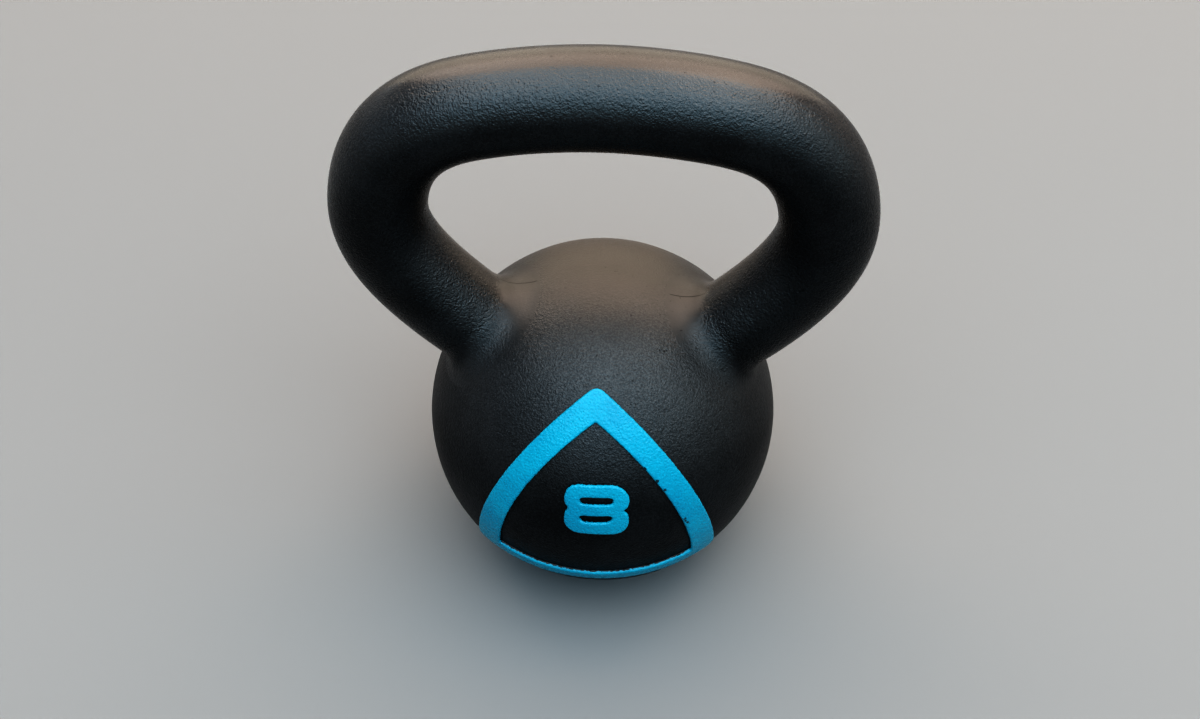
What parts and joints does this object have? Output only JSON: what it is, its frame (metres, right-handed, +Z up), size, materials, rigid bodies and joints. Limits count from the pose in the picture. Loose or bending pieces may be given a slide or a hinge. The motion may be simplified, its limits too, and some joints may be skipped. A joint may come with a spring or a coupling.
{
  "type": "kettlebell",
  "caption": "Cast kettlebell: a round weighted ball on a flat base, a looped round-bar handle, and a raised painted triangular frame round a plain weight numeral on the front.",
  "frame": {"origin": "centre of the flat base, on the surface it stands on, directly under the ball's centre", "axes": "+Z up through the ball and the crown of the handle; the handle's loop lies in the XZ plane; the raised frame and numeral face -Y"},
  "size_m": [0.1722, 0.121, 0.2],
  "materials": {
    "coated_iron": "satin",
    "coated_handle": "satin",
    "blue_enamel": "satin"
  },
  "bodies": {
    "root": {"ball": "coated_iron", "handle": "coated_handle", "badge_frame": "blue_enamel", "numeral_8": "blue_enamel"}
  },
  "joints": []
}
